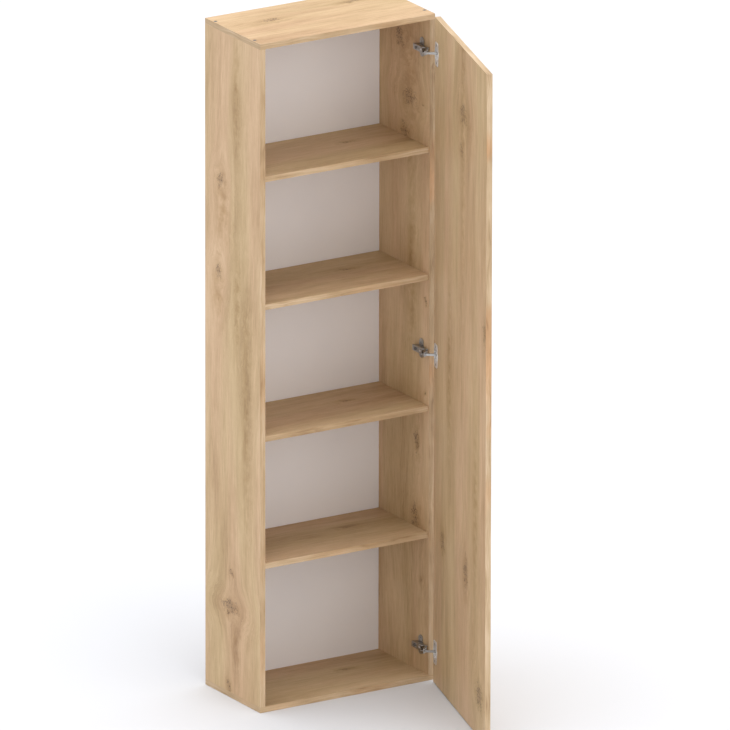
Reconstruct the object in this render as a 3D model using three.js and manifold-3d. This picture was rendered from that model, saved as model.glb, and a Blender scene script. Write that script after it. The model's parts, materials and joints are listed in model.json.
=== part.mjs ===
// Tall hanging wall cabinet with one right-hung door, four shelves and five compartments.
// Millimetres. +X right, +Y towards the wall, +Z up.
// Origin: on the wall plane, midway across the cabinet, level with its underside.
// The door stands 73 degrees open.
import * as THREE from "three";
import { mergeVertices } from "three/addons/utils/BufferGeometryUtils.js";
import Module from "manifold-3d";

const wasm = await Module();
wasm.setup();

// ---- Driving dimensions ---------------------------------------------------------------------
const WIDTH = 524;
const HEIGHT = 1800;
const DEPTH = 273; // carcase only, without the door
const BOARD = 15; // thickness of every board
const SHELF_TOPS = [402, 745, 1100, 1443];
const SHELF_SETBACK = 4;
const SHELF_END_GAP = 0.5;

const BACK_THICK = 3;
const BACK_FACE = 248; // from the carcase front to the face of the back panel
const GROOVE_DEPTH = 6;
const GROOVE_SLACK = 0.25;

const DOOR_SIDE_GAP = 2; // the door is this much inside the carcase outline all round
const DOOR_GAP = 2; // between the closed door and the carcase
const DOOR_OPEN = 73; // degrees open as stored
const FIT_GAP = 0.3; // clearance where hardware sits in or on a board
const BORE_SLACK = 0.15;
const BORE_EXTRA = 0.4; // a bore's depth past the end of its pin
const SHELF_BACK_GAP = 1;
const PANEL_PLAY = 1;
const OVER = 1; // how far a cutting shape runs past the surface it opens

// Door turning axis: beyond the right side, in the plane of the closed door's outer face.
const AXIS_OUT = 3.8;
const AXIS_FRONT = DOOR_GAP + BOARD;

// ---- Hinges: measured from the right side's outer face (u) and the carcase front (v) --------
const HINGES = { upper: 1704, middle: 893, lower: 88 };
const ARM_PIVOT = [-21.5, 2.2];
const CUP_PIVOT = [-17, -5.2]; // with the door closed
const PIN_R = 1.5;
const PIN_HOLE_R = 1.75;
const EYE_R = 3;
const CUP_R = 17.5;
const CUP_WALL = 1.3;
const CUP_DEPTH = 11.5;
const CUP_CORNER = 1;
const CUP_FROM_EDGE = 21.5; // cup centre from the door's hinge edge
const FLANGE_THICK = 1.2;
const FLANGE_WIDTH = 30;
const FLANGE_HEIGHT = 64;
const FLANGE_CORNER = 8;
const PLATE_FROM_FRONT = 37; // screw line of the mounting plate
const PLATE_THICK = 2;
const PLATE_SCREW_SPACING = 32;
const PLATE_SCREW_R = 2.6;
const WING_R = 10;
const BRIDGE_HEIGHT = 8.5;
const BRIDGE_HALF = 5.6;
const BRIDGE_FROM = 24;
const BRIDGE_TO = 50;
const BRIDGE_FOOT = 5;
const TUNNEL_HEIGHT = 4;
const CLAMP_R = 2.4;
const ARM_OUTER = 32; // arm's web, from the side's outer face
const ARM_STEEL = 1.4;
const ARM_HALF = 7.6;
const ARM_LIFT = 19; // free edge of the arm's flanges
const ARM_WEB_FRONT = 12;
const ARM_THROAT = 2;
const ARM_REAR = 56;
const ARM_CHAMFER = 6;
const PIN_PROUD = 0.6;
const FIXING_FROM_FRONT = 42;
const FIXING = { shankR: 2.6, holeR: 3.4, headR: 4.2, headTall: 1.6 };
const FIXING_SLOT = { half: 0.6, reach: 2.6, deep: 0.9 };
const SEAT_GAP = 0.1; // between a screw's head and the steel under it
const LINK_HALF = 5.6; // half height of the arm link's fork
const LINK_TIP_R = 2.6;
const LINK_WEB = { from: 0.25, to: 0.62, low: -2.6, high: -1.6 }; // along it in shares of its length
const RIVET_PROUD = 0.3;
const FORK_STEEL = 2.4;
const CUP_LINK_HALF = 2.9;
const CUP_LINK_EYE_R = 2.9;
const LINK_BAR = 1.4; // half width of a link's bar

// ---- Fasteners and fittings -----------------------------------------------------------------
const CONFIRMAT = { headR: 4.8, headTall: 3, shankR: 3.4, threadR: 2.9, tipR: 1.6, length: 48, tipTall: 3 };
const CONFIRMAT_NECK = [-21, -20.5]; // where the shank narrows to the thread
const CONFIRMAT_INSET = 40; // from the front and from the rear
const HEX_R = 2.3;
const HEX_DEEP = 2.4;
const HEX_SIDES = 6;
const SHELF_PIN = { r: 2.5, collarR: 3.5, collar: 1, lift: 0.05, inBoard: 8, reach: 9 };
const PIN_FROM_FRONT = 50;
const PIN_FROM_REAR = 60;
const HANGER = { wide: 34, tall: 56, deep: 17, steel: 2, wallGap: 2, top: 24 };
const HANGER_SCREW_IN = 9.5; // from the wing's rear face
const KEYHOLE = { entryR: 5, slotR: 2.6, rise: 14, drop: 8, fromSide: 20.4 };
const HANGER_SCREW = { headR: 4, headTall: 2.2, shankR: 1.9, length: 13, rimTall: 0.9, crownR: 2.2, pointTall: 3 };
const HANGER_SCREW_SPREAD = 15;
const CROSS_SLOT = { half: 0.5, reach: 2.4 };

const ROUND = 12; // facets of a small round
const FINE = 32; // facets of the hinge cup

// ---- Materials ------------------------------------------------------------------------------
function material(color, roughness, metalness) {
  return new THREE.MeshStandardMaterial({ color, roughness, metalness });
}
const OAK = material(0xcdac82, 0.55, 0);
const WHITE_BOARD = material(0xd2c8be, 0.6, 0);
const NICKEL = material(0xc3bcb4, 0.3, 1);
const ZINC = material(0x8f8c86, 0.45, 1);

// ---- Solids ---------------------------------------------------------------------------------
function solid(geometry) {
  const bare = geometry.clone();
  bare.deleteAttribute("normal");
  bare.deleteAttribute("uv");
  const merged = mergeVertices(bare, 1e-4);
  return new wasm.Manifold(
    new wasm.Mesh({
      numProp: 3,
      vertProperties: new Float32Array(merged.attributes.position.array),
      triVerts: new Uint32Array(merged.index.array),
    }),
  );
}

function geometryOf(body) {
  const found = body.getMesh();
  const geometry = new THREE.BufferGeometry();
  geometry.setAttribute("position", new THREE.BufferAttribute(found.vertProperties, 3));
  geometry.setIndex(new THREE.BufferAttribute(found.triVerts, 1));
  return geometry;
}

function addMesh(group, name, body, finish) {
  const mesh = new THREE.Mesh(geometryOf(body), finish);
  mesh.name = name;
  group.add(mesh);
  return mesh;
}

// A box given by its low and high corners.
function block([x0, y0, z0], [x1, y1, z1]) {
  const box = new THREE.BoxGeometry(x1 - x0, y1 - y0, z1 - z0);
  box.translate((x0 + x1) / 2, (y0 + y1) / 2, (z0 + z1) / 2);
  return solid(box);
}

// A round bar about Z from z0 to z1.
function rod(r, z0, z1, facets = ROUND) {
  const bar = new THREE.CylinderGeometry(r, r, z1 - z0, facets);
  bar.rotateX(Math.PI / 2);
  bar.translate(0, 0, (z0 + z1) / 2);
  return solid(bar);
}

// A turned piece about Z from a profile of [radius, z] points, listed upwards.
function turned(points, facets = ROUND) {
  const profile = points.map(([r, z]) => new THREE.Vector2(r, z));
  const lathe = new THREE.LatheGeometry(profile, facets);
  lathe.rotateX(Math.PI / 2);
  return solid(lathe);
}

// A flat outline in X and Y, extruded from z0 to z1.
function plate(shape, z0, z1) {
  const made = new THREE.ExtrudeGeometry(shape, {
    depth: z1 - z0,
    bevelEnabled: false,
    curveSegments: 6,
  });
  made.translate(0, 0, z0);
  return solid(made);
}

// Rounded rectangle centred on the origin.
function roundedRectangle(width, height, r) {
  const [a, b] = [width / 2, height / 2];
  const shape = new THREE.Shape();
  shape.moveTo(a, b - r);
  shape.absarc(a - r, b - r, r, 0, Math.PI / 2, false);
  shape.absarc(r - a, b - r, r, Math.PI / 2, Math.PI, false);
  shape.absarc(r - a, r - b, r, Math.PI, 1.5 * Math.PI, false);
  shape.absarc(a - r, r - b, r, 1.5 * Math.PI, 2 * Math.PI, false);
  return shape;
}

// Bar with round ends of different radius, along X from the origin.
function linkOutline(length, r0, r1) {
  const shape = new THREE.Shape();
  shape.absarc(0, 0, r0, Math.PI / 2, 1.5 * Math.PI, false);
  shape.absarc(length, 0, r1, -Math.PI / 2, Math.PI / 2, false);
  return shape;
}

const FRONT = -DEPTH;
const HALF = WIDTH / 2;
const INNER = HALF - BOARD;

// ---- Boards ---------------------------------------------------------------------------------
function groove(low, high) {
  const y0 = FRONT + BACK_FACE - GROOVE_SLACK;
  const y1 = FRONT + BACK_FACE + BACK_THICK + GROOVE_SLACK;
  return block([low[0], y0, low[1]], [high[0], y1, high[1]]);
}

const CONFIRMAT_YS = { front: FRONT + CONFIRMAT_INSET, rear: -CONFIRMAT_INSET };
const CONFIRMAT_X = HALF - BOARD / 2;

function confirmatProfile(slack) {
  const c = CONFIRMAT;
  const top = slack ? OVER : 0;
  return [
    [0, -c.length - slack],
    [c.tipR + slack, -c.length - slack],
    [c.threadR + slack, c.tipTall - c.length - slack],
    [c.threadR + slack, CONFIRMAT_NECK[0]],
    [c.shankR + slack, CONFIRMAT_NECK[1]],
    [c.shankR + slack, -c.headTall - slack],
    [c.headR + slack, -slack],
    [c.headR + slack, top],
    [0, top],
  ];
}

// Bores for the four screws that enter from the top face (up = 1) or the underside (up = -1).
function confirmatBores(z, up) {
  const bores = [];
  for (const x of [-CONFIRMAT_X, CONFIRMAT_X]) {
    for (const y of Object.values(CONFIRMAT_YS)) {
      const bore = turned(confirmatProfile(FIT_GAP));
      const turnedOver = up > 0 ? bore : bore.rotate([180, 0, 0]);
      bores.push(turnedOver.translate([x, y, z]));
    }
  }
  return wasm.Manifold.union(bores);
}

function sideBoard(sign) {
  const z0 = BOARD;
  const z1 = HEIGHT - BOARD;
  const [a, b] = sign < 0 ? [-HALF, -INNER] : [INNER, HALF];
  const reach = sign < 0 ? [-INNER - GROOVE_DEPTH, -INNER + OVER] : [INNER - OVER, INNER + GROOVE_DEPTH];
  let body = block([a, FRONT, z0], [b, 0, z1]);
  body = body.subtract(groove([reach[0], z0 - OVER], [reach[1], z1 + OVER]));
  body = body.subtract(confirmatBores(HEIGHT, 1)).subtract(confirmatBores(0, -1));
  for (const top of SHELF_TOPS) {
    for (const y of PIN_YS) {
      const hole = rod(SHELF_PIN.r + BORE_SLACK, -OVER, SHELF_PIN.inBoard + BORE_EXTRA);
      body = body.subtract(hole.rotate([0, sign * 90, 0]).translate([sign * INNER, y, pinLevel(top)]));
    }
  }
  return body;
}

// Top or bottom board: covers the ends of both sides.
function endBoard(z0, up) {
  const inside = up > 0 ? z0 : z0 + BOARD;
  const low = up > 0 ? inside - OVER : inside - GROOVE_DEPTH;
  const high = up > 0 ? inside + GROOVE_DEPTH : inside + OVER;
  const end = INNER + GROOVE_DEPTH;
  const body = block([-HALF, FRONT, z0], [HALF, 0, z0 + BOARD]);
  const cut = body.subtract(groove([-end, low], [end, high]));
  return cut.subtract(confirmatBores(up > 0 ? HEIGHT : 0, up));
}

function shelf(top) {
  const half = INNER - SHELF_END_GAP;
  const rear = FRONT + BACK_FACE - SHELF_BACK_GAP;
  return block([-half, FRONT + SHELF_SETBACK, top - BOARD], [half, rear, top]);
}

function backPanel() {
  const half = INNER + GROOVE_DEPTH - PANEL_PLAY;
  const y = FRONT + BACK_FACE;
  const low = BOARD - GROOVE_DEPTH + PANEL_PLAY;
  return block([-half, y, low], [half, y + BACK_THICK, HEIGHT - low]);
}

function doorBoard() {
  const half = HALF - DOOR_SIDE_GAP;
  const face = FRONT - DOOR_GAP;
  let body = block([-half, face - BOARD, DOOR_SIDE_GAP], [half, face, HEIGHT - DOOR_SIDE_GAP]);
  for (const z of Object.values(HINGES)) {
    const bore = rod(CUP_R + FIT_GAP, -OVER, CUP_DEPTH + FIT_GAP, FINE).rotate([90, 0, 0]);
    body = body.subtract(bore.translate([half - CUP_FROM_EDGE, face, z]));
  }
  return body;
}

// ---- Fasteners ------------------------------------------------------------------------------
function confirmat() {
  const hex = rod(HEX_R, -HEX_DEEP, OVER, HEX_SIDES);
  return turned(confirmatProfile(0)).subtract(hex);
}

function addConfirmats(group) {
  const levels = { top: [HEIGHT, 0], bottom: [0, Math.PI] };
  for (const [level, [z, turn]] of Object.entries(levels)) {
    for (const [side, x] of Object.entries({ left: -CONFIRMAT_X, right: CONFIRMAT_X })) {
      for (const [place, y] of Object.entries(CONFIRMAT_YS)) {
        const screw = addMesh(group, `confirmat_${level}_${side}_${place}`, confirmat(), ZINC);
        screw.position.set(x, y, z);
        screw.rotation.x = turn;
      }
    }
  }
}

const PIN_YS = [FRONT + PIN_FROM_FRONT, FRONT + BACK_FACE - PIN_FROM_REAR];

function pinLevel(shelfTop) {
  return shelfTop - BOARD - SHELF_PIN.collarR;
}

// Shelf pin along +Z: peg in the board below z = 0, collar and free peg above it.
function shelfPin() {
  const p = SHELF_PIN;
  return turned([
    [0, -p.inBoard],
    [p.r, -p.inBoard],
    [p.r, p.lift],
    [p.collarR, p.lift],
    [p.collarR, p.lift + p.collar],
    [p.r, p.lift + p.collar],
    [p.r, p.reach],
    [0, p.reach],
  ]);
}

function addShelfPins(group) {
  SHELF_TOPS.forEach((top, index) => {
    for (const [side, sign] of Object.entries({ left: -1, right: 1 })) {
      PIN_YS.forEach((y, row) => {
        const name = `shelf_${index + 1}_pin_${side}_${row ? "rear" : "front"}`;
        const pin = addMesh(group, name, shelfPin(), NICKEL);
        pin.position.set(sign * INNER, y, pinLevel(top));
        pin.rotation.y = -sign * Math.PI / 2;
      });
    }
  });
}

// ---- Wall hangers: an angle in each upper corner of the rear recess -------------------------
function keyhole() {
  const k = KEYHOLE;
  const reach = HANGER.steel + OVER;
  const slot = block([-k.slotR, -reach, -k.drop], [k.slotR, reach, k.rise]);
  const entry = rod(k.entryR, -reach, reach).rotate([90, 0, 0]).translate([0, 0, -k.drop]);
  const end = rod(k.slotR, -reach, reach).rotate([90, 0, 0]).translate([0, 0, k.rise]);
  return slot.add(entry).add(end);
}

function hangerScrewLevels() {
  const middle = HEIGHT - BOARD - HANGER.top - HANGER.tall / 2;
  return [middle - HANGER_SCREW_SPREAD, middle + HANGER_SCREW_SPREAD];
}

const HANGER_SCREW_Y = -HANGER.wallGap - HANGER_SCREW_IN;

function wallHanger(sign) {
  const h = HANGER;
  const face = INNER - FIT_GAP;
  const z1 = HEIGHT - BOARD - h.top;
  const z0 = z1 - h.tall;
  const leg = block([face - h.steel, -h.wallGap - h.deep, z0], [face, -h.wallGap, z1]);
  const wing = block([face - h.wide, -h.wallGap - h.steel, z0], [face, -h.wallGap, z1]);
  const slot = keyhole().translate([face - KEYHOLE.fromSide, -h.wallGap, (z0 + z1) / 2]);
  let body = leg.add(wing).subtract(slot);
  for (const z of hangerScrewLevels()) {
    const bore = rod(HANGER_SCREW.shankR + FIT_GAP, -h.steel - OVER, OVER).rotate([0, 90, 0]);
    body = body.subtract(bore.translate([face, HANGER_SCREW_Y, z]));
  }
  return sign > 0 ? body : body.mirror([1, 0, 0]);
}

// Pan-head screw about Z: head on z = 0, point downwards.
function panScrew(s) {
  const body = turned([
    [0, -s.length],
    [s.shankR, s.pointTall - s.length],
    [s.shankR, 0],
    [s.headR, 0],
    [s.headR, s.rimTall],
    [s.crownR, s.headTall],
    [0, s.headTall],
  ]);
  const { half, reach } = CROSS_SLOT;
  const bar = block([-reach, -half, s.rimTall], [reach, half, s.headTall + OVER]);
  return body.subtract(bar).subtract(bar.rotate([0, 0, 90]));
}

function screwBore(sign, z) {
  const bore = rod(HANGER_SCREW.shankR + BORE_SLACK, -OVER, HANGER_SCREW.length);
  return bore.rotate([0, sign * 90, 0]).translate([sign * INNER, HANGER_SCREW_Y, z]);
}

function addHangers(group) {
  for (const [side, sign] of Object.entries({ left: -1, right: 1 })) {
    addMesh(group, `wall_hanger_${side}`, wallHanger(sign), ZINC);
    hangerScrewLevels().forEach((z, row) => {
      const name = `hanger_screw_${side}_${row ? "upper" : "lower"}`;
      const screw = addMesh(group, name, panScrew(HANGER_SCREW), ZINC);
      const seat = INNER - FIT_GAP - HANGER.steel - SEAT_GAP;
      screw.position.set(sign * seat, HANGER_SCREW_Y, z);
      screw.rotation.y = -sign * Math.PI / 2;
    });
  }
}

// ---- Hinge parts, about the hinge's middle height: x = u, y = v -----------------------------
// Plate and bridge, made flat: X runs from the front to the rear, Z stands off the board.
function mountingPlate() {
  const s = PLATE_SCREW_SPACING / 2;
  const x0 = BRIDGE_FROM - PLATE_FROM_FRONT;
  const x1 = BRIDGE_TO - PLATE_FROM_FRONT;
  const wings = plate(roundedRectangle(2 * WING_R, 2 * (s + WING_R), WING_R), 0, PLATE_THICK);
  let base = wings.add(block([x0, -BRIDGE_HALF, 0], [x1, BRIDGE_HALF, PLATE_THICK]));
  for (const y of [-s, s]) {
    base = base.subtract(rod(PLATE_SCREW_R, -OVER, PLATE_THICK + OVER).translate([0, y, 0]));
  }
  const bridge = block([x0, -BRIDGE_HALF, 0], [x1, BRIDGE_HALF, BRIDGE_HEIGHT]);
  const tunnelLow = [x0 + BRIDGE_FOOT, -BRIDGE_HALF - OVER, -OVER];
  const tunnelHigh = [x1 - BRIDGE_FOOT, BRIDGE_HALF + OVER, TUNNEL_HEIGHT];
  const screwHole = rod(CLAMP_R, PLATE_THICK, BRIDGE_HEIGHT + OVER);
  const clamp = screwHole.translate([FIXING_FROM_FRONT - PLATE_FROM_FRONT, 0, 0]);
  const lying = base.add(bridge.subtract(block(tunnelLow, tunnelHigh)).subtract(clamp));
  return lying.rotate([-90, 0, 90]).translate([-BOARD - FIT_GAP, PLATE_FROM_FRONT, 0]);
}

function armFlangeOutline() {
  const [u, v] = ARM_PIVOT;
  const shape = new THREE.Shape();
  shape.moveTo(-ARM_LIFT, ARM_REAR - ARM_CHAMFER);
  shape.lineTo(-ARM_LIFT - ARM_CHAMFER, ARM_REAR);
  shape.lineTo(-ARM_OUTER, ARM_REAR);
  shape.lineTo(-ARM_OUTER, ARM_WEB_FRONT + ARM_THROAT);
  shape.absarc(u, v, EYE_R, Math.PI, 2 * Math.PI, false);
  shape.lineTo(-ARM_LIFT, ARM_WEB_FRONT);
  return shape;
}

function hingeArm() {
  const inner = ARM_HALF - ARM_STEEL;
  const flange = plate(armFlangeOutline(), inner, ARM_HALF);
  const web = block([-ARM_OUTER, ARM_WEB_FRONT, -ARM_HALF], [ARM_STEEL - ARM_OUTER, ARM_REAR, ARM_HALF]);
  const pin = rod(PIN_R, -ARM_HALF - PIN_PROUD, ARM_HALF + PIN_PROUD).translate([...ARM_PIVOT, 0]);
  const across = rod(FIXING.holeR, -OVER, ARM_STEEL + OVER).rotate([0, 90, 0]);
  return flange
    .add(flange.mirror([0, 0, 1]))
    .add(web)
    .add(pin)
    .subtract(across.translate([-ARM_OUTER, FIXING_FROM_FRONT, 0]));
}

// Screw that clamps the arm to the plate: head outside the web, shank down to the bridge.
function fixingScrew() {
  const f = FIXING;
  const { half, reach, deep } = FIXING_SLOT;
  const seat = ARM_OUTER + SEAT_GAP;
  const foot = BOARD + FIT_GAP + BRIDGE_HEIGHT + FIT_GAP;
  const crown = seat + f.headTall;
  const shank = rod(f.shankR, foot, crown - deep);
  const head = rod(f.headR, seat, crown);
  const slot = block([-reach, -half, crown - deep], [reach, half, crown + OVER]);
  const body = shank.add(head).subtract(slot).subtract(slot.rotate([0, 0, 90]));
  return body.rotate([0, -90, 0]).translate([0, FIXING_FROM_FRONT, 0]);
}

// Cup, flange and the cup's pivot pin: closed position, y = 0 on the carcase front.
function hingeCup() {
  const face = FIT_GAP - DOOR_GAP;
  const centre = -DOOR_SIDE_GAP - CUP_FROM_EDGE;
  const inside = CUP_R - CUP_WALL;
  const midWall = inside + CUP_WALL / 2;
  const shell = turned(
    [
      [0, -CUP_DEPTH],
      [CUP_R - CUP_CORNER, -CUP_DEPTH],
      [CUP_R, CUP_CORNER - CUP_DEPTH],
      [CUP_R, FLANGE_THICK],
      [inside, FLANGE_THICK],
      [inside, CUP_WALL + CUP_CORNER - CUP_DEPTH],
      [inside - CUP_CORNER, CUP_WALL - CUP_DEPTH],
      [0, CUP_WALL - CUP_DEPTH],
    ],
    FINE,
  );
  const outline = roundedRectangle(FLANGE_WIDTH, FLANGE_HEIGHT, FLANGE_CORNER);
  const flange = plate(outline, 0, FLANGE_THICK).subtract(rod(midWall, -OVER, FLANGE_THICK + OVER, FINE));
  const cup = shell.add(flange).rotate([-90, 0, 0]).translate([centre, face, 0]);
  const reach = Math.sqrt(midWall ** 2 - (CUP_PIVOT[0] - centre) ** 2);
  return cup.add(rod(PIN_R, -reach, reach).translate([...CUP_PIVOT, 0]));
}

// Link on the arm's pin: a channel whose two plates clasp the cup link. Along +X from its pivot.
function armLink(length) {
  const w = LINK_WEB;
  const eye = rod(PIN_HOLE_R, -LINK_HALF - OVER, LINK_HALF + OVER);
  const outline = linkOutline(length, EYE_R, LINK_TIP_R);
  const fork = plate(outline, LINK_HALF - FORK_STEEL, LINK_HALF).subtract(eye);
  const web = block([length * w.from, w.low, -LINK_HALF], [length * w.to, w.high, LINK_HALF]);
  const rivet = rod(PIN_R, -LINK_HALF - RIVET_PROUD, LINK_HALF + RIVET_PROUD).translate([length, 0, 0]);
  return fork.add(fork.mirror([0, 0, 1])).add(web).add(rivet);
}

// Link on the cup's pin, ending on the arm link's rivet. Along +X from its pivot.
function cupLink(length) {
  const bar = plate(linkOutline(length, LINK_BAR, LINK_BAR), -CUP_LINK_HALF, CUP_LINK_HALF);
  const near = rod(CUP_LINK_EYE_R, -CUP_LINK_HALF, CUP_LINK_HALF);
  const far = near.translate([length, 0, 0]);
  const hole = rod(PIN_HOLE_R, -CUP_LINK_HALF - OVER, CUP_LINK_HALF + OVER);
  return bar.add(near).add(far).subtract(hole).subtract(hole.translate([length, 0, 0]));
}

// The two links and the pivots form a parallelogram with the door's axis, so the arm link turns
// with the door and the cup link keeps its direction.
function addHinge(cabinet, doorGroup, name, z) {
  const axis = [AXIS_OUT, -AXIS_FRONT];
  const fromAxis = (p) => [p[0] - axis[0], p[1] - axis[1]];
  const armArm = fromAxis(CUP_PIVOT);
  const cupArm = fromAxis(ARM_PIVOT);
  const open = THREE.MathUtils.degToRad(DOOR_OPEN);

  const fixed = new THREE.Group();
  fixed.position.set(HALF, FRONT, z);
  cabinet.add(fixed);
  addMesh(fixed, `hinge_${name}_plate`, mountingPlate(), NICKEL);
  addMesh(fixed, `hinge_${name}_arm`, hingeArm(), NICKEL);
  addMesh(fixed, `hinge_${name}_fixing_screw`, fixingScrew(), ZINC);

  const link = addMesh(fixed, `hinge_${name}_arm_link`, armLink(Math.hypot(...armArm)), NICKEL);
  link.position.set(...ARM_PIVOT, 0);
  link.rotation.z = Math.atan2(armArm[1], armArm[0]) + open;

  const cup = addMesh(doorGroup, `hinge_${name}_cup`, hingeCup(), NICKEL);
  cup.position.set(HALF, FRONT, z);

  const second = addMesh(doorGroup, `hinge_${name}_cup_link`, cupLink(Math.hypot(...cupArm)), NICKEL);
  second.position.set(HALF + CUP_PIVOT[0], FRONT + CUP_PIVOT[1], z);
  second.rotation.z = Math.atan2(cupArm[1], cupArm[0]) - open;
}

// ---- Assembly -------------------------------------------------------------------------------
function addCarcase(group) {
  const hangerBores = (sign) => wasm.Manifold.union(hangerScrewLevels().map((z) => screwBore(sign, z)));
  addMesh(group, "left_side", sideBoard(-1).subtract(hangerBores(-1)), OAK);
  addMesh(group, "right_side", sideBoard(1).subtract(hangerBores(1)), OAK);
  addMesh(group, "top_board", endBoard(HEIGHT - BOARD, 1), OAK);
  addMesh(group, "bottom_board", endBoard(0, -1), OAK);
  addMesh(group, "back_panel", backPanel(), WHITE_BOARD);
  SHELF_TOPS.forEach((top, index) => addMesh(group, `shelf_${index + 1}`, shelf(top), OAK));
}

// Door pieces are drawn closed, in a group that turns about the hinge axis.
function makeDoorGroup(cabinet) {
  const turning = new THREE.Group();
  turning.position.set(HALF + AXIS_OUT, FRONT - AXIS_FRONT, 0);
  turning.rotation.z = THREE.MathUtils.degToRad(DOOR_OPEN);
  cabinet.add(turning);
  const closed = new THREE.Group();
  closed.position.copy(turning.position).negate();
  turning.add(closed);
  return closed;
}

function makeCabinet() {
  const cabinet = new THREE.Group();
  cabinet.name = "hanging_wall_cabinet";
  addCarcase(cabinet);
  addConfirmats(cabinet);
  addShelfPins(cabinet);
  addHangers(cabinet);
  const doorGroup = makeDoorGroup(cabinet);
  addMesh(doorGroup, "door", doorBoard(), OAK);
  for (const [name, z] of Object.entries(HINGES)) {
    addHinge(cabinet, doorGroup, name, z);
  }
  return cabinet;
}

export default makeCabinet();
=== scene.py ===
"""Tall hanging wall cabinet in an oak decor: the looks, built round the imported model.

Metres. +X right, +Y towards the wall, +Z up; the wall plane is y = 0 and the underside z = 0.
Board pieces are drawn in the pose where the door is closed, then the door's are turned open.
"""
import json
import math

import bmesh
import bpy
from mathutils import Matrix, Vector


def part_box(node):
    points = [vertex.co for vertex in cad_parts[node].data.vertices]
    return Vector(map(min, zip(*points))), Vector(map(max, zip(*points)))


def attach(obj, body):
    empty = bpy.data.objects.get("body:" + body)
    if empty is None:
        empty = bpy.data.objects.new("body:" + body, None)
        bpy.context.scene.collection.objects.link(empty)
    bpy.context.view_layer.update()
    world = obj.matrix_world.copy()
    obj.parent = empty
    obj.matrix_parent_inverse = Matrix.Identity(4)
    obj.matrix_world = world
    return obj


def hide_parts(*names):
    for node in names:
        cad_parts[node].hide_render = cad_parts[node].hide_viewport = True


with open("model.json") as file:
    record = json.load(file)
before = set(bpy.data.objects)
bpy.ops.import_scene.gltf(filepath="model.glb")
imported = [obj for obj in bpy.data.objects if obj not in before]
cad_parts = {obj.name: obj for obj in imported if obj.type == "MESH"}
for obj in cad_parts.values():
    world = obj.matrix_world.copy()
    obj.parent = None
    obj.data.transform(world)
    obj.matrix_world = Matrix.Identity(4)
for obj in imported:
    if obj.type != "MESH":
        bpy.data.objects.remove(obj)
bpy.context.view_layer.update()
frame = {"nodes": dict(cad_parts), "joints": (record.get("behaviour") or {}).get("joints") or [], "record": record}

MM = 0.001

# ---- View: the photo's own, from far away through a long lens ----------------------------------
VIEW_AZIMUTH = math.radians(-31.57)
VIEW_ELEVATION = math.radians(17.87)
VIEW_ROLL = math.radians(0.095)
VIEW_DISTANCE = 55.456
VIEW_LENS = 1059.9
VIEW_SENSOR = 36.0
VIEW_AIM = Vector((0.1755, -0.0730, 0.8136))

# ---- Door ---------------------------------------------------------------------------------------
DOOR_JOINT = next(j for j in frame["joints"] if j["name"] == "door_hinge")
DOOR_OPEN = -math.radians(min(DOOR_JOINT["range_deg"]))
DOOR_AXIS = Vector(DOOR_JOINT["pos_m"])
ACROSS, DEEP, UP = 0, 1, 2


# ---- Shader building ---------------------------------------------------------------------------
class Shader:
    """Adds nodes to a node tree. Each call returns the new node's output socket."""

    def __init__(self, tree):
        self.tree = tree

    def add(self, kind, inputs=(), out=0, **settings):
        made = self.tree.nodes.new(kind)
        for name, value in settings.items():
            setattr(made, name, value)
        pairs = inputs.items() if isinstance(inputs, dict) else enumerate(inputs)
        for key, value in pairs:
            if isinstance(value, bpy.types.NodeSocket):
                self.tree.links.new(value, made.inputs[key])
            else:
                made.inputs[key].default_value = value
        return made.outputs[out] if made.outputs else made

    def maths(self, operation, *values):
        return self.add("ShaderNodeMath", values, operation=operation)

    def split(self, vector):
        x = self.add("ShaderNodeSeparateXYZ", (vector,))
        return x.node.outputs[0], x.node.outputs[1], x.node.outputs[2]

    def join(self, x, y, z):
        return self.add("ShaderNodeCombineXYZ", (x, y, z))

    def noise(self, vector, detail=2.0, roughness=0.5, scale=1.0):
        inputs = {"Vector": vector, "Scale": scale, "Detail": detail, "Roughness": roughness}
        return self.add("ShaderNodeTexNoise", inputs)

    def stretched(self, x, y, z, scale_x, scale_y, detail=2.0, roughness=0.5):
        """Noise that varies scale_x times a metre along x and scale_y times along y."""
        point = self.join(self.maths("MULTIPLY", x, scale_x), self.maths("MULTIPLY", y, scale_y), z)
        return self.noise(point, detail, roughness)

    def weighted(self, values, shares):
        """The sum of the values, each times its share."""
        total = 0.0
        for value, share in zip(values, shares):
            total = self.maths("ADD", total, self.maths("MULTIPLY", value, share))
        return total

    def mix(self, factor, a, b, blend="MIX"):
        inputs = {0: factor, 6: a, 7: b}
        return self.add("ShaderNodeMix", inputs, out=2, data_type="RGBA", blend_type=blend)

    def span(self, value, low, high, to_low=0.0, to_high=1.0):
        return self.add("ShaderNodeMapRange", (value, low, high, to_low, to_high), clamp=True)

    def smooth(self, value, low, high):
        inputs = (value, low, high, 0.0, 1.0)
        return self.add("ShaderNodeMapRange", inputs, clamp=True, interpolation_type="SMOOTHSTEP")

    def ramp(self, value, stops):
        made = self.add("ShaderNodeValToRGB", (value,)).node
        elements = made.color_ramp.elements
        while len(elements) < len(stops):
            elements.new(0.5)
        for element, (position, colour) in zip(elements, stops):
            element.position = position
            element.color = (*colour, 1.0)
        return made.outputs[0]

    def bump(self, height, distance, strength):
        inputs = {"Strength": strength, "Distance": distance, "Height": height}
        return self.add("ShaderNodeBump", inputs)


def new_material(name):
    material = bpy.data.materials.new(name)
    material.use_nodes = True
    material.node_tree.nodes.clear()
    return material, Shader(material.node_tree)


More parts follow.
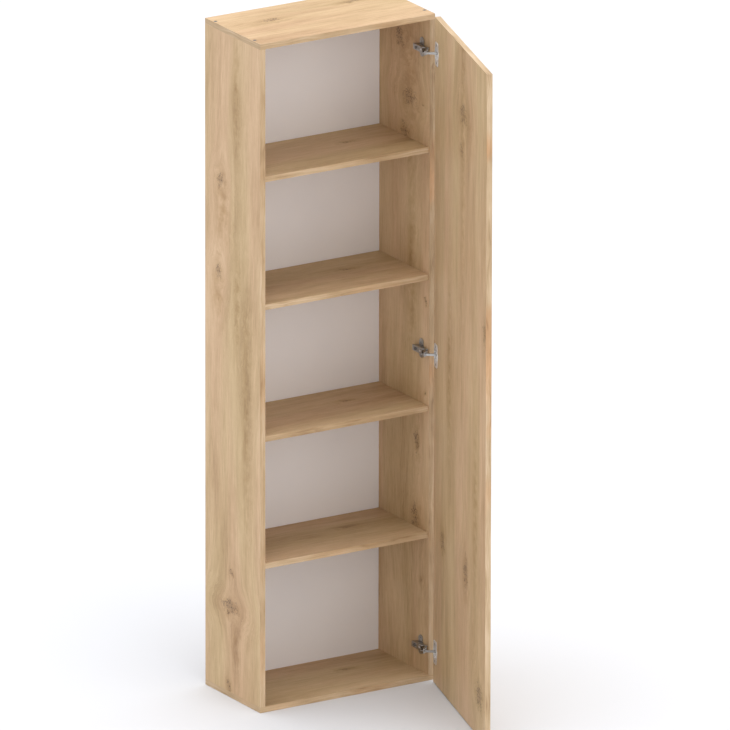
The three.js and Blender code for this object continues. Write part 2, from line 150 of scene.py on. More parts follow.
def surface(s, colour, roughness, normal=None, **constants):
    """Ends a material in a Principled shader. Constants are set on its own sockets."""
    inputs = {"Base Color": colour, "Roughness": roughness}
    if normal is not None:
        inputs["Normal"] = normal
    for name, value in constants.items():
        inputs[name.replace("_", " ")] = value
    shader = s.add("ShaderNodeBsdfPrincipled", inputs)
    s.add("ShaderNodeOutputMaterial", (shader,))


# ---- Oak decor -----------------------------------------------------------------------------------
# Face numbers in the grain attribute's third value.
LOW_FACE, HIGH_FACE, EDGE = 0.0, 1.0, 2.0
FAR_AWAY = 40.0  # knot sizes between a knot and the board's other face

# Noises of a knot: detail, roughness and scale per metre.
KNOT_OUTLINE = (3.0, 0.6, 38.0)
KNOT_CRACKS = (2.5, 0.6, 60.0)
STRAY_ACROSS, STRAY_ALONG = 0.035, 0.05  # how far a knot's outline can stray, in metres
GRAIN_PUSH = 0.85  # part of its distance from a knot's middle that the grain gives way
PUSH_WIDTH, HALO_WIDTH = 6.0, 3.0  # how far the push and the halo reach

# Noises of the decor: scale per metre across the grain and along it, detail and roughness.
DRIFT = (3.0, 0.9, 2.0)
BANDS = (9.0, 1.5, 4.0, 0.6)
RINGS = (42.0, 2.6, 6.0, 0.75)
FIBRES = (330.0, 14.0, 4.0, 0.7)
PORES = (1500.0, 45.0, 1.0)
HUES = (9.0, 0.8, 2.0)
EDGE_WAVE = (20.0, 9.0, 2.0)
EDGE_LINES = (260.0, 3.0, 3.0, 0.6)
EDGE_PATCHES = (30.0, 6.5, 3.0, 0.6)
EDGE_WARMTH = (8.0, 4.0, 2.0)
EDGE_KNOTS = (40.0, 16.0, 2.0)
DRIFT_SIZE, EDGE_WAVE_SIZE = 0.09, 0.02  # how far the grain wanders sideways, in metres

# Shares of the bands, rings and fibres in a face's tone, and of the lines and patches in an edge's.
FACE_SHARES = (0.38, 0.32, 0.30)
EDGE_SHARES = (0.45, 0.55)
RELIEF_SHARES = (0.6, 0.4)  # fibres and rings in the surface relief


def knot_group():
    """A knot: how far it pushes the grain aside, its halo, its dark heart and its cracks."""
    tree = bpy.data.node_groups.new("oak_knot", "ShaderNodeTree")
    for name, kind in (("Grain", "Vector"), ("Centre", "Vector"), ("Size", "Float"), ("Stretch", "Float")):
        tree.interface.new_socket(name, in_out="INPUT", socket_type=f"NodeSocket{kind}")
    for name in ("Push", "Halo", "Heart", "Crack"):
        tree.interface.new_socket(name, in_out="OUTPUT", socket_type="NodeSocketFloat")
    s = Shader(tree)
    given = s.add("NodeGroupInput").node.outputs
    offset = s.add("ShaderNodeVectorMath", (given["Grain"], given["Centre"]), operation="SUBTRACT")
    x, y, face = s.split(offset)
    wander = s.maths("SUBTRACT", s.noise(given["Grain"], *KNOT_OUTLINE), 0.5)
    long_size = s.maths("MULTIPLY", given["Size"], given["Stretch"])
    strayed_x = s.maths("ADD", x, s.maths("MULTIPLY", wander, STRAY_ACROSS))
    strayed_y = s.maths("ADD", y, s.maths("MULTIPLY", wander, STRAY_ALONG))
    nx = s.maths("DIVIDE", strayed_x, given["Size"])
    ny = s.maths("DIVIDE", strayed_y, long_size)
    other_face = s.maths("MULTIPLY", face, FAR_AWAY)
    far = s.add("ShaderNodeVectorMath", (s.join(nx, ny, other_face),), out=1, operation="LENGTH")
    square = s.maths("MULTIPLY", far, far)

    def fall(width):
        return s.maths("EXPONENT", s.maths("DIVIDE", square, -width))

    push = s.maths("MULTIPLY", s.maths("MULTIPLY", x, -GRAIN_PUSH), fall(PUSH_WIDTH))
    halo = s.maths("MULTIPLY", fall(HALO_WIDTH), s.span(wander, -0.2, 0.15, 0.25, 1.0))
    ragged = s.maths("ADD", far, s.maths("MULTIPLY", wander, 3.0))
    heart = s.maths("SUBTRACT", 1.0, s.smooth(ragged, 0.1, 0.9))
    ridge = s.maths("ABSOLUTE", s.maths("SUBTRACT", s.noise(offset, *KNOT_CRACKS), 0.5))
    crack = s.maths("SUBTRACT", 1.0, s.smooth(ridge, 0.006, 0.03))
    crack = s.maths("MULTIPLY", crack, s.maths("SUBTRACT", 1.0, s.smooth(far, 0.5, 1.4)))
    s.add("NodeGroupOutput", (push, halo, heart, crack))
    return tree


KNOT_GROUP = knot_group()


def knots_on(s, grain, knots):
    """Sums the push and takes the strongest halo, heart and crack of several knots.

    A fourth value in a knot makes it a plain dark streak, with no heart or crack.
    """
    push, halo, heart, crack = 0.0, 0.0, 0.0, 0.0
    for centre, size, stretch, *streak in knots:
        made = s.tree.nodes.new("ShaderNodeGroup")
        made.node_tree = KNOT_GROUP
        s.tree.links.new(grain, made.inputs["Grain"])
        made.inputs["Centre"].default_value = centre
        made.inputs["Size"].default_value = size
        made.inputs["Stretch"].default_value = stretch
        push = s.maths("ADD", push, made.outputs["Push"])
        halo = s.maths("MAXIMUM", halo, made.outputs["Halo"])
        if streak:
            continue
        heart = s.maths("MAXIMUM", heart, made.outputs["Heart"])
        crack = s.maths("MAXIMUM", crack, made.outputs["Crack"])
    return push, halo, heart, crack


OAK_STOPS = (
    (0.0, (0.445, 0.292, 0.158)),
    (0.3, (0.545, 0.376, 0.216)),
    (0.6, (0.625, 0.448, 0.270)),
    (1.0, (0.715, 0.535, 0.340)),
)
BAND_STOPS = (
    (0.0, (0.310, 0.190, 0.095)),
    (0.3, (0.480, 0.328, 0.185)),
    (0.7, (0.580, 0.418, 0.255)),
    (1.0, (0.665, 0.500, 0.330)),
)
OLIVE = (0.97, 0.975, 0.90, 1.0)
ROSE = (1.03, 0.98, 0.975, 1.0)
HALO_TINT = (0.73, 0.66, 0.54, 1.0)
HEART_COLOUR = (0.340, 0.215, 0.115, 1.0)
CRACK_COLOUR = (0.060, 0.032, 0.016, 1.0)
PORE_TINT = (0.80, 0.74, 0.66, 1.0)
PEACH_TINT = (1.06, 0.88, 0.76, 1.0)
FACE_STEP = 7.3  # how far apart the two faces of a board lie in the decor
FAINT_PEACH, FULL_PEACH = 0.3, 1.0  # strength of an edge band's peach-coloured patches


def oak(name, seed, knots, painted_shade):
    """Oak decor on the broad faces of a board, read from the board's grain attribute.

    The steps added to the seed, here and in oak_band, keep a board's noises apart.
    """
    material, s = new_material(name)
    grain = s.add("ShaderNodeAttribute", out=1, attribute_name="grain")
    across, along, face = s.split(grain)
    push, halo, heart, crack = knots_on(s, grain, knots)
    here = s.maths("ADD", s.maths("MULTIPLY", face, FACE_STEP), seed)
    drift = s.maths("SUBTRACT", s.stretched(across, along, here, *DRIFT), 0.5)
    x = s.maths("ADD", s.maths("ADD", across, push), s.maths("MULTIPLY", drift, DRIFT_SIZE))
    bands = s.stretched(x, along, here, *BANDS)
    rings = s.stretched(x, along, here, *RINGS)
    fibres = s.stretched(x, along, here, *FIBRES)
    pores = s.stretched(x, along, here, *PORES)
    tone = s.weighted((bands, rings, fibres), FACE_SHARES)
    colour = s.ramp(s.span(tone, 0.39, 0.61), OAK_STOPS)
    hue = s.span(s.stretched(x, along, s.maths("ADD", here, 3.1), *HUES), 0.38, 0.62)
    colour = s.mix(1.0, colour, s.mix(hue, OLIVE, ROSE), "MULTIPLY")
    colour = s.mix(s.maths("MULTIPLY", s.smooth(pores, 0.60, 0.72), 0.55), colour, PORE_TINT, "MULTIPLY")
    colour = s.mix(halo, colour, HALO_TINT, "MULTIPLY")
    colour = s.mix(s.maths("MULTIPLY", heart, 0.65), colour, HEART_COLOUR)
    colour = s.mix(s.maths("MULTIPLY", crack, 0.80), colour, CRACK_COLOUR)
    height = s.weighted((fibres, rings), RELIEF_SHARES)
    height = s.maths("SUBTRACT", height, s.maths("MULTIPLY", s.smooth(pores, 0.58, 0.7), 0.7))
    height = s.maths("SUBTRACT", height, crack)
    roughness = s.span(rings, 0.3, 0.7, 0.50, 0.62)
    # Painted shade: the factor below darkens the decor to stand for the lower light inside the compartments.
    colour = s.mix(1.0, colour, (painted_shade, painted_shade, painted_shade, 1.0), "MULTIPLY")
    surface(s, colour, roughness, s.bump(height, 0.12 * MM, 0.5), Specular_IOR_Level=0.35)
    return material


def oak_band(name, seed, painted_shade, peach):
    """Edge band in the same decor: grain along the strip, with darker knots crossing it."""
    material, s = new_material(name)
    across, along, _ = s.split(s.add("ShaderNodeAttribute", out=1, attribute_name="grain"))
    wave = s.maths("SUBTRACT", s.stretched(across, along, seed, *EDGE_WAVE), 0.5)
    x = s.maths("ADD", across, s.maths("MULTIPLY", wave, EDGE_WAVE_SIZE))
    lines = s.stretched(x, along, seed, *EDGE_LINES)
    patches = s.stretched(x, along, seed + 5.0, *EDGE_PATCHES)
    tone = s.weighted((lines, patches), EDGE_SHARES)
    colour = s.ramp(s.span(tone, 0.33, 0.62), BAND_STOPS)
    warm = s.smooth(s.stretched(x, along, seed + 8.0, *EDGE_WARMTH), 0.50, 0.66)
    colour = s.mix(s.maths("MULTIPLY", warm, peach), colour, PEACH_TINT, "MULTIPLY")
    knot = s.smooth(s.stretched(x, along, seed + 12.0, *EDGE_KNOTS), 0.68, 0.78)
    colour = s.mix(s.maths("MULTIPLY", knot, 0.7), colour, HEART_COLOUR)
    # Painted shade: the factor below darkens the band to stand for the shadow of the open door.
    colour = s.mix(1.0, colour, (painted_shade, painted_shade, painted_shade, 1.0), "MULTIPLY")
    surface(s, colour, s.span(lines, 0.3, 0.7, 0.48, 0.6), s.bump(lines, 0.08 * MM, 0.4),
            Specular_IOR_Level=0.35)
    return material


def chipboard():
    """Raw chipboard: light and dark flakes."""
    material, s = new_material("raw_chipboard")
    where = s.add("ShaderNodeTexCoord", out=3)
    flakes = s.add("ShaderNodeTexVoronoi", {"Vector": where, "Scale": 650.0}, out=1)
    grey = s.add("ShaderNodeRGBToBW", (flakes,))
    stops = ((0.0, (0.30, 0.19, 0.10)), (0.5, (0.50, 0.35, 0.20)), (1.0, (0.68, 0.52, 0.34)))
    colour = s.ramp(grey, stops)
    surface(s, colour, 0.85, s.bump(grey, 0.2 * MM, 0.8))
    return material


def lacquered_panel():
    """White lacquered face of the back panel: very fine orange peel, hardly any tone."""
    material, s = new_material("white_lacquered_hardboard")
    where = s.add("ShaderNodeTexCoord", out=3)
    cloud = s.noise(where, 2.0, 0.5, 6.0)
    peel = s.noise(where, 2.0, 0.5, 900.0)
    colour = s.ramp(cloud, ((0.3, (0.87, 0.855, 0.87)), (0.7, (0.90, 0.885, 0.895))))
    surface(s, colour, s.span(peel, 0.3, 0.7, 0.50, 0.60), s.bump(peel, 0.02 * MM, 0.4))
    return material


SCREEN_PITCH = 3500.0  # radians of the screen pattern per metre


def hardboard():
    """Brown rear face of the back panel, with its pressed screen pattern."""
    material, s = new_material("brown_hardboard")
    where = s.add("ShaderNodeTexCoord", out=3)
    x, _, z = s.split(where)
    weave = s.maths("MULTIPLY", s.maths("SINE", s.maths("MULTIPLY", x, SCREEN_PITCH)),
                    s.maths("SINE", s.maths("MULTIPLY", z, SCREEN_PITCH)))
    cloud = s.noise(where, 4.0, 0.6, 60.0)
    colour = s.ramp(cloud, ((0.25, (0.23, 0.135, 0.07)), (0.75, (0.36, 0.225, 0.125))))
    surface(s, colour, 0.8, s.bump(s.maths("ADD", weave, cloud), 0.1 * MM, 0.6))
    return material


BRUSH_Y, BRUSH_Z = 350.0, 3500.0  # scales of the fine streaks per metre


def metal(name, light, dark, rough, streaks, metallic):
    """Plated steel: slight tone and gloss changes, finer along one direction."""
    material, s = new_material(name)
    where = s.add("ShaderNodeTexCoord", out=3)
    x, y, z = s.split(where)
    scaled = (s.maths("MULTIPLY", v, times) for v, times in ((x, streaks), (y, BRUSH_Y), (z, BRUSH_Z)))
    fine = s.noise(s.join(*scaled), 2.0)
    cloud = s.noise(where, 3.0, 0.6, 160.0)
    colour = s.mix(s.span(cloud, 0.3, 0.7), (*dark, 1.0), (*light, 1.0))
    roughness = s.maths("ADD", s.span(fine, 0.3, 0.7, rough * 0.75, rough * 1.2),
                        s.maths("MULTIPLY", cloud, 0.06))
    surface(s, colour, roughness, s.bump(fine, 0.01 * MM, 0.3), Metallic=metallic)
    return material


NICKEL = metal("nickel_plate", light=(0.50, 0.49, 0.475), dark=(0.36, 0.355, 0.345),
               rough=0.30, streaks=900.0, metallic=1.0)
# Painted sheen: a brighter, partly diffuse copy of the nickel plate stands for the bright reflection on the cup
# flanges; the adjusting screws use it too.
NICKEL_PAINTED_SHEEN = metal("nickel_plate_painted_sheen", light=(0.86, 0.84, 0.82), dark=(0.74, 0.72, 0.70),
              rough=0.40, streaks=900.0, metallic=0.6)
ZINC = metal("zinc_plate", light=(0.30, 0.30, 0.30), dark=(0.18, 0.18, 0.185),
             rough=0.42, streaks=600.0, metallic=1.0)
CHIPBOARD = chipboard()
LACQUER = lacquered_panel()
HARDBOARD = hardboard()


# ---- Boards ----------------------------------------------------------------------------------------
EASE = 0.6 * MM  # rounding of a board's edges
BAND = 1.0 * MM  # thickness of the edge band
PLANE_TOLERANCE = 0.02 * MM
CUT_TOLERANCE = 0.001 * MM
BOARD_WELD = 0.005 * MM
FLAT_ANGLE = math.radians(0.5)
BROAD, BANDED, RAW = 0, 1, 2  # material slots of a board
EDGE_STEP = 0.37  # shift of the decor between two opposite edges, in metres


def closing(node):
    """Turns the door's pieces from the stored pose to the closed one; nothing for the others."""
    if node not in frame["record"]["behaviour"]["bodies"]["door"]:
        return Matrix.Identity(4)
    there = Matrix.Translation(DOOR_AXIS)
    return there @ Matrix.Rotation(-DOOR_OPEN, 4, "Z") @ there.inverted()


def extremes(points):
    """The corners of the box round the points."""
    low = Vector([min(p[i] for p in points) for i in range(3)])
    high = Vector([max(p[i] for p in points) for i in range(3)])
    return low, high


def cad_mesh(node, weld, turn=None):
    """The CAD part's mesh, turned and welded, with each flat face in one piece."""
    bm = bmesh.new()
    bm.from_mesh(frame["nodes"][node].data)
    if turn is not None:
        bm.transform(turn)
    bmesh.ops.remove_doubles(bm, verts=bm.verts, dist=weld)
    bmesh.ops.dissolve_limit(bm, angle_limit=FLAT_ANGLE, verts=bm.verts, edges=bm.edges)
    return bm


def outer_planes(point, low, high):
    """The planes of the board's own box that the point lies on, as (axis, is high)."""
    found = {(i, False) for i in range(3) if abs(point[i] - low[i]) < PLANE_TOLERANCE}
    return found | {(i, True) for i in range(3) if abs(point[i] - high[i]) < PLANE_TOLERANCE}


def grain_of(point, normal_axis, is_high, board_axes, is_edge):
    """Across the grain, along the grain and which face, for a corner of a face."""
    thick, cross, along = board_axes
    if not is_edge:
        return point[cross], point[along], HIGH_FACE if is_high else LOW_FACE
    run = cross if normal_axis == along else along
    return point[thick], point[run] + (EDGE_STEP if is_high else 0.0), EDGE


def cut_bands(bm, banded, low, high):
    """Cuts the faces where each edge band ends."""
    for axis, is_high in banded:
        at = high[axis] - BAND if is_high else low[axis] + BAND
        plane = Vector([at if i == axis else 0.0 for i in range(3)])
        normal = Vector([1.0 if i == axis else 0.0 for i in range(3)])
        geometry = bm.verts[:] + bm.edges[:] + bm.faces[:]
        bmesh.ops.bisect_plane(bm, geom=geometry, plane_co=plane, plane_no=normal, dist=CUT_TOLERANCE)


def ease_edges(bm, low, high):
    """Rounds the edges where two outer faces of the board meet."""
    outer = []
    for edge in bm.edges:
        shared = outer_planes(edge.verts[0].co, low, high) & outer_planes(edge.verts[1].co, low, high)
        if len(shared) == 2 and len(edge.link_faces) == 2:
            outer.append(edge)
    bmesh.ops.bevel(bm, geom=outer, offset=EASE, segments=2, profile=0.5, affect="EDGES",
                    clamp_overlap=True)
    bm.normal_update()


def lay_decor(bm, banded, board_axes, low, high):
    """Gives every face its material slot and its grain coordinates."""
    thick = board_axes[0]
    grain = bm.loops.layers.float_vector.new("grain")
    for face in bm.faces:
        centre = face.calc_center_median()
        axis = max(range(3), key=lambda i: abs(face.normal[i]))
        depths = {(i, is_high): high[i] - centre[i] if is_high else centre[i] - low[i]
                  for i, is_high in banded}
        in_band = [side for side in banded if depths[side] < BAND]
        reach = min(abs(centre[thick] - low[thick]), abs(centre[thick] - high[thick]))
        is_inner = axis == thick and reach >= EASE
        is_broad = axis == thick and not is_inner and not in_band
        face.material_index = BROAD if is_broad else BANDED if in_band and not is_inner else RAW
        if is_broad:
            side_axis, side_high = thick, face.normal[axis] > 0
        else:
            side_axis, side_high = in_band[0] if in_band else (axis, face.normal[axis] > 0)
        for loop in face.loops:
            loop[grain] = grain_of(loop.vert.co, side_axis, side_high, board_axes, not is_broad)


def board(node, grain_axis, banded, face_material, band_material):
    """Copy of a CAD board with eased edges, edge bands and the grain's directions on every face.

    banded holds (axis, is high) for each banded edge; other edges show chipboard.
    """
    shut = closing(node)
    bm = cad_mesh(node, BOARD_WELD, shut)
    low, high = extremes([v.co for v in bm.verts])
    size = high - low
    thick = min(range(3), key=lambda i: size[i])
    cross = next(i for i in range(3) if i not in (thick, grain_axis))
    cut_bands(bm, banded, low, high)
    ease_edges(bm, low, high)
    lay_decor(bm, banded, (thick, cross, grain_axis), low, high)
    bm.transform(shut.inverted())
    piece = finish_mesh(bm, node + "_board")
    for material in (face_material, band_material, CHIPBOARD):
        piece.data.materials.append(material)
    stand_for(piece, node)


def finish_mesh(bm, name):
    """Makes the mesh an object of the scene."""
    mesh = bpy.data.meshes.new(name)
    bm.to_mesh(mesh)
    bm.free()
    piece = bpy.data.objects.new(name, mesh)
    bpy.context.scene.collection.objects.link(piece)
    return piece


def body_of(node):
    groups = frame["record"]["behaviour"]["bodies"]
    return next(body for body, members in groups.items() if node in members)


def slot_of(node):
    return next(p["material_slot"] for p in frame["record"]["subparts"] if p["node"] == node)


def stand_for(piece, node):
    """Puts the piece in the CAD part's place, with its body."""
    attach(piece, body_of(node))
    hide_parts(node)


ALL_ROUND = [(ACROSS, False), (ACROSS, True), (UP, False), (UP, True)]
FRONT_EDGE = (DEEP, False)

# Knots of each board: (across, along, face), size, stretch along the grain. See knots_on for streaks.
LEFT_KNOTS = [
    ((-0.077, 1.386, LOW_FACE), 0.017, 1.2),
    ((-0.082, 1.310, LOW_FACE), 0.022, 3.0, "streak"),
    ((-0.067, 1.139, LOW_FACE), 0.012, 1.8),
    ((-0.062, 1.090, LOW_FACE), 0.022, 2.2, "streak"),
    ((-0.156, 1.079, LOW_FACE), 0.010, 8.0, "streak"),
    ((-0.200, 0.800, LOW_FACE), 0.012, 16.0, "streak"),
    ((-0.150, 1.620, LOW_FACE), 0.010, 9.0, "streak"),
    ((-0.130, 0.339, LOW_FACE), 0.006, 1.8),
    ((-0.126, 0.246, LOW_FACE), 0.042, 0.45),
    ((-0.147, 0.163, LOW_FACE), 0.010, 6.0, "streak"),
    ((-0.117, 0.029, LOW_FACE), 0.008, 1.6),
    ((-0.090, 0.620, HIGH_FACE), 0.010, 2.0),
]
RIGHT_KNOTS = [
    ((-0.126, 1.701, LOW_FACE), 0.018, 1.6),
    ((-0.175, 1.554, LOW_FACE), 0.036, 0.65),
    ((-0.239, 1.546, LOW_FACE), 0.004, 1.4),
    ((-0.149, 1.457, LOW_FACE), 0.022, 0.8),
    ((-0.175, 1.640, LOW_FACE), 0.022, 5.0, "streak"),
    ((-0.180, 1.100, LOW_FACE), 0.012, 12.0, "streak"),
    ((-0.254, 1.024, LOW_FACE), 0.005, 2.0),
    ((-0.250, 0.774, LOW_FACE), 0.005, 2.0),
    ((-0.211, 0.630, LOW_FACE), 0.008, 4.5),
    ((-0.204, 0.425, LOW_FACE), 0.016, 2.0),
    ((-0.236, 0.263, LOW_FACE), 0.006, 1.5),
    ((-0.110, 1.250, HIGH_FACE), 0.012, 2.0),
    ((-0.190, 0.520, HIGH_FACE), 0.015, 1.6),
]
DOOR_KNOTS = [
    ((-0.027, 1.621, HIGH_FACE), 0.034, 0.8),
    ((-0.013, 1.520, HIGH_FACE), 0.016, 0.9),
    ((-0.020, 1.560, HIGH_FACE), 0.012, 19.0, "streak"),
    ((0.110, 0.900, HIGH_FACE), 0.012, 16.0, "streak"),
    ((-0.150, 0.600, HIGH_FACE), 0.014, 12.0, "streak"),
    ((-0.243, 1.098, HIGH_FACE), 0.009, 3.5),
    ((0.169, 0.412, HIGH_FACE), 0.018, 1.6),
    ((-0.064, 0.398, HIGH_FACE), 0.022, 2.2),
    ((-0.202, 0.112, HIGH_FACE), 0.036, 1.0),
    ((0.120, 1.330, LOW_FACE), 0.014, 2.0),
    ((-0.130, 0.700, LOW_FACE), 0.018, 1.6),
    ((0.060, 0.260, LOW_FACE), 0.010, 2.6),
]
TOP_KNOTS = [
    ((-0.105, -0.130, HIGH_FACE), 0.009, 3.5),
    ((-0.070, 0.130, HIGH_FACE), 0.007, 3.5),
]
SHELF_KNOTS = [
    ((-0.120, 0.090, HIGH_FACE), 0.008, 3.0),
    ((-0.160, 0.030, LOW_FACE), 0.010, 2.0),
]

PAINTED_SHADE = 0.88  # painted shade, with some darker decor: darkens the shelves, the bottom board and the right side's edge band, which get less light

# Third coordinate of each board in the decor's noises, so that no two boards look alike.
SEEDS = {"left_side": 1.0, "right_side": 5.0, "top_board": 9.0, "bottom_board": 13.0, "door": 31.0}
SHELF_SEED, SHELF_SEED_STEP = 15.0, 2.3
SHELVES = 4


# The two shade factors darken a board's faces and its edge band as painted shade; 1.0 leaves the decor as it is.
def oak_board(node, grain_axis, banded, seed, knots, painted_shade=1.0, edge_painted_shade=1.0, peach=FAINT_PEACH):
    faces = oak(node + "_oak", seed, knots, painted_shade)
    board(node, grain_axis, banded, faces, oak_band(node + "_band", seed, edge_painted_shade, peach))


def make_boards():
    oak_board("left_side", UP, [FRONT_EDGE], SEEDS["left_side"], LEFT_KNOTS)
    # Painted shade on the right side's edge band, where the open door keeps light off.
    oak_board("right_side", UP, [FRONT_EDGE], SEEDS["right_side"], RIGHT_KNOTS,
              edge_painted_shade=PAINTED_SHADE, peach=FULL_PEACH)
    banded = [FRONT_EDGE, (ACROSS, False), (ACROSS, True)]
    oak_board("top_board", ACROSS, banded, SEEDS["top_board"], TOP_KNOTS)
    # Painted shade on the bottom board and the shelves, which get less light inside the cabinet.
    oak_board("bottom_board", ACROSS, banded, SEEDS["bottom_board"], SHELF_KNOTS, PAINTED_SHADE)
    for number in range(1, SHELVES + 1):
        seed = SHELF_SEED + SHELF_SEED_STEP * number
        oak_board(f"shelf_{number}", ACROSS, [FRONT_EDGE], seed, SHELF_KNOTS, PAINTED_SHADE)
    oak_board("door", UP, ALL_ROUND, SEEDS["door"], DOOR_KNOTS, peach=FULL_PEACH)


PANEL_EASE = 0.2 * MM  # rounding of the back panel's edges


def make_back_panel():
    """White face to the front, brown hardboard behind and round the edges."""
    bm = cad_mesh("back_panel", BOARD_WELD)
    bmesh.ops.bevel(bm, geom=bm.edges[:], offset=PANEL_EASE, segments=2, profile=0.5, affect="EDGES")
    bm.normal_update()
    for face in bm.faces:
        face.material_index = 0 if face.normal.y < -0.5 else 1
    piece = finish_mesh(bm, "back_panel_board")
    piece.data.materials.append(LACQUER)
    piece.data.materials.append(HARDBOARD)
    stand_for(piece, "back_panel")


# ---- Metal parts -----------------------------------------------------------------------------------
SOFTEN = 0.22 * MM  # rounding of a pressed part's edges
SHARP_TURN = math.radians(32)
METAL_WELD = 0.002 * MM

# Screw heads in mm: radius, height, depth of the recess, half length and half width of its arms.
FLANGE_SCREW = {"r": 3.4, "tall": 0.35, "deep": 1.1, "arm": 1.9, "half": 0.5}
PLATE_SCREW = {"r": 3.7, "tall": 1.4, "deep": 1.0, "arm": 2.1, "half": 0.5}
ADJUSTER = {"r": 2.7, "tall": 0.5, "deep": 0.9, "arm": 1.7, "half": 0.45}
HEAD_SIDES = 32
HEAD_SINK = 0.2 * MM  # how far a head's foot lies below its recess
SHOULDER = 0.6  # height of the upright rim as a part of the head's
CROWN = 0.88  # width of the flat top as a part of the head's
RECESS_FLOOR = 0.8  # width of the recess's floor as a part of its mouth's
HINGES = ("upper", "middle", "lower")
REARWARD, INWARD = Vector((0.0, 1.0, 0.0)), Vector((-1.0, 0.0, 0.0))  # ways the screw heads face
FLANGE_SCREW_RISE = 24.0 * MM  # above and below the middle of the hinge
PLATE_SCREW_RISE = 16.0 * MM
ADJUSTER_IN = 20.0 * MM  # behind the front end of the arm


def softened(node, finish, width):
    """Copy of a CAD part with rounded edges and smooth curves."""
    bm = cad_mesh(node, METAL_WELD)
    turns = [e for e in bm.edges if len(e.link_faces) == 2 and e.calc_face_angle(0.0) > SHARP_TURN]
    bmesh.ops.bevel(bm, geom=turns, offset=width, segments=2, profile=0.5, affect="EDGES",
                    clamp_overlap=True)
    bm.normal_update()
    for face in bm.faces:
        face.smooth = True
    for edge in bm.edges:
        edge.smooth = len(edge.link_faces) == 2 and edge.calc_face_angle(0.0) < SHARP_TURN
    piece = finish_mesh(bm, node + "_looks")
    piece.data.materials.append(finish)
    stand_for(piece, node)


def make_metal_parts():
    """All CAD parts that no board stands for yet."""
    for node, part in frame["nodes"].items():
        if part.hide_render:
            continue
        if slot_of(node) == "zinc_steel":
            softened(node, ZINC, SOFTEN / 2)
        else:
            # The cups take the brighter nickel copy with painted sheen.
            softened(node, NICKEL_PAINTED_SHEEN if node.endswith("_cup") else NICKEL, SOFTEN)


def screw_head(name, shape):
    """Low round head about Z with a cross recess. It sits on z = 0, with its foot sunk below."""
    bm = bmesh.new()
    r, tall, deep, arm, half = (shape[k] * MM for k in ("r", "tall", "deep", "arm", "half"))

    def loop(points, z):
        return [bm.verts.new((x, y, z)) for x, y in points]

    def wall(lower, upper):
        for i in range(len(lower)):
            j = (i + 1) % len(lower)
            bm.faces.new((lower[i], lower[j], upper[j], upper[i]))

    def circle(radius):
        turns = [2 * math.pi * i / HEAD_SIDES for i in range(HEAD_SIDES)]
        return [(radius * math.cos(t), radius * math.sin(t)) for t in turns]

    quarter = ((arm, -half), (arm, half), (half, half))
    cross = []
    for turn in range(4):
        c, s = round(math.cos(turn * math.pi / 2)), round(math.sin(turn * math.pi / 2))
        cross += [(c * x - s * y, s * x + c * y) for x, y in quarter]
    foot = loop(circle(r), -deep - HEAD_SINK)
    rim = loop(circle(r), SHOULDER * tall)
    crown = loop(circle(CROWN * r), tall)
    mouth = loop(cross, tall)
    floor = loop([(RECESS_FLOOR * x, RECESS_FLOOR * y) for x, y in cross], tall - deep)
    wall(foot, rim)
    wall(rim, crown)
    wall(mouth, floor)
    bm.faces.new(foot)
    bm.faces.new(floor)
    top_edges = [bm.edges.get((ring[i], ring[(i + 1) % len(ring)]))
                 for ring in (crown, mouth) for i in range(len(ring))]
    bmesh.ops.triangle_fill(bm, use_beauty=True, edges=top_edges)
    bmesh.ops.recalc_face_normals(bm, faces=bm.faces)
    return finish_mesh(bm, name)


def place_head(name, shape, place, outward, body, finish, shut=Matrix.Identity(4)):
    """Sets a head at a place given in the closed pose, on a body of the cabinet."""
    head = screw_head(name, shape)
    turn = outward.to_track_quat("Z", "Y").to_matrix().to_4x4()
    head.data.transform(shut.inverted() @ Matrix.Translation(place) @ turn)
    head.data.materials.append(finish)
    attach(head, body)


def make_hinge_screws():
    """Two screws in each cup flange and each mounting plate, and one adjuster in each arm."""
    for hinge in HINGES:
        name = f"hinge_{hinge}"
        shut = closing(f"{name}_cup")
        cup = [shut @ v.co for v in frame["nodes"][f"{name}_cup"].data.vertices]
        low, high = extremes(cup)
        middle = (low + high) / 2
        flange_y = max(c.y for c in cup if abs(c.z - middle.z) > FLANGE_SCREW_RISE)
        wing = [v.co for v in frame["nodes"][f"{name}_plate"].data.vertices
                if abs(v.co.z - middle.z) > PLATE_SCREW_RISE]
        low, high = extremes(wing)
        wing_x, wing_y = low.x, (low.y + high.y) / 2
        for level, sign in (("above", 1), ("below", -1)):
            at = Vector((middle.x, flange_y, middle.z + sign * FLANGE_SCREW_RISE))
            place_head(f"{name}_flange_screw_{level}", FLANGE_SCREW, at, REARWARD, "door", NICKEL, shut)
            at = Vector((wing_x, wing_y, middle.z + sign * PLATE_SCREW_RISE))
            place_head(f"{name}_plate_screw_{level}", PLATE_SCREW, at, INWARD, "carcase", NICKEL)
        arm_low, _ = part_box(f"{name}_arm")
        at = Vector((arm_low.x, arm_low.y + ADJUSTER_IN, middle.z))
        # The adjuster takes the brighter nickel copy with painted sheen.
        place_head(f"{name}_adjusting_screw", ADJUSTER, at, INWARD, "carcase", NICKEL_PAINTED_SHEEN)


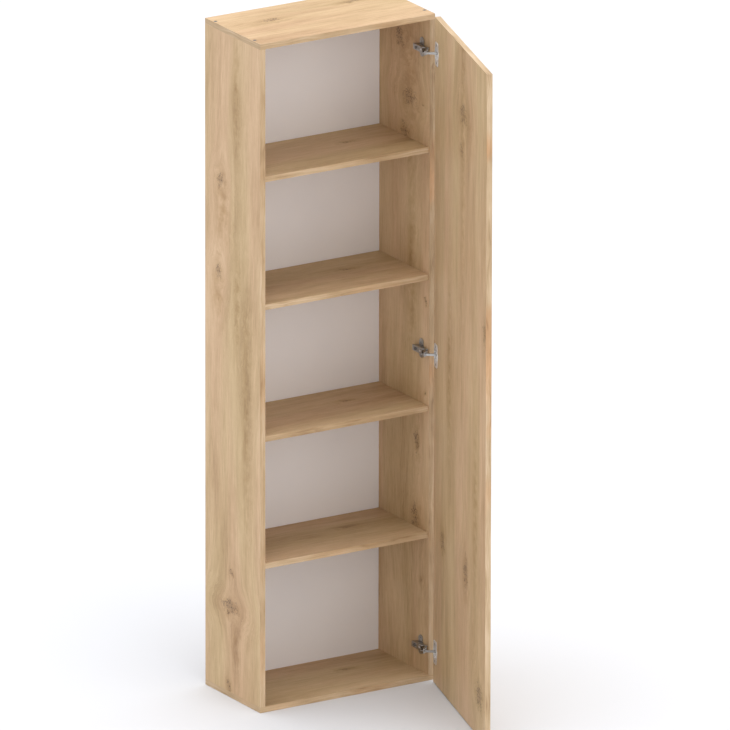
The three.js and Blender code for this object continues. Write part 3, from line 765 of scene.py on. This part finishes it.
# ---- Stage -------------------------------------------------------------------------------------------
def make_camera():
    lens = bpy.data.cameras.new("view")
    lens.sensor_width = VIEW_SENSOR
    lens.lens = VIEW_LENS
    lens.clip_start = 1.0
    lens.clip_end = 2.0 * VIEW_DISTANCE
    camera = bpy.data.objects.new("view", lens)
    bpy.context.scene.collection.objects.link(camera)
    flat = math.cos(VIEW_ELEVATION)
    back = Vector((math.sin(VIEW_AZIMUTH) * flat, -math.cos(VIEW_AZIMUTH) * flat, math.sin(VIEW_ELEVATION)))
    camera.location = VIEW_AIM + VIEW_DISTANCE * back
    camera.rotation_mode = "QUATERNION"
    roll = Matrix.Rotation(VIEW_ROLL, 3, back).to_quaternion()
    camera.rotation_quaternion = roll @ (-back).to_track_quat("-Z", "Y")
    bpy.context.scene.camera = camera


FLOOR_HALF = 60.0
FLOOR_GAP = 0.5 * MM  # below the cabinet's underside
FLOOR_COLOUR = (0.715, 0.725, 0.755, 1.0)
WHITE = (1.0, 1.0, 1.0, 1.0)
SKY_STRENGTH = 0.80

# Lamps: name, direction of the light, strength and width in degrees.
LAMPS = (
    ("ceiling", (0.0, 0.0, -1.0), 1.95, 50.0),
    ("front", (-0.05, 1.0, -0.22), 0.80, 60.0),
)


def make_floor():
    bm = bmesh.new()
    corners = ((-1, -1), (1, -1), (1, 1), (-1, 1))
    bm.faces.new([bm.verts.new((FLOOR_HALF * x, FLOOR_HALF * y, 0.0)) for x, y in corners])
    floor = finish_mesh(bm, "floor")
    material, s = new_material("studio_floor")
    surface(s, FLOOR_COLOUR, 0.9, Specular_IOR_Level=0.1)
    floor.data.materials.append(material)
    floor.location.z = -FLOOR_GAP


def wide_light(name, heading, energy, degrees):
    """A far, very wide lamp: as soft as a lit studio wall."""
    lamp = bpy.data.lights.new(name, "SUN")
    lamp.energy = energy
    lamp.angle = math.radians(degrees)
    light = bpy.data.objects.new(name, lamp)
    light.rotation_mode = "QUATERNION"
    light.rotation_quaternion = Vector(heading).to_track_quat("-Z", "Y")
    bpy.context.scene.collection.objects.link(light)


def make_lights():
    world = bpy.data.worlds.new("studio")
    world.use_nodes = True
    background = world.node_tree.nodes["Background"]
    background.inputs["Color"].default_value = WHITE
    background.inputs["Strength"].default_value = SKY_STRENGTH
    bpy.context.scene.world = world
    for lamp in LAMPS:
        wide_light(*lamp)
    bpy.context.scene.view_settings.view_transform = "Standard"


make_camera()
make_floor()
make_lights()
make_boards()
make_back_panel()
make_metal_parts()
make_hinge_screws()
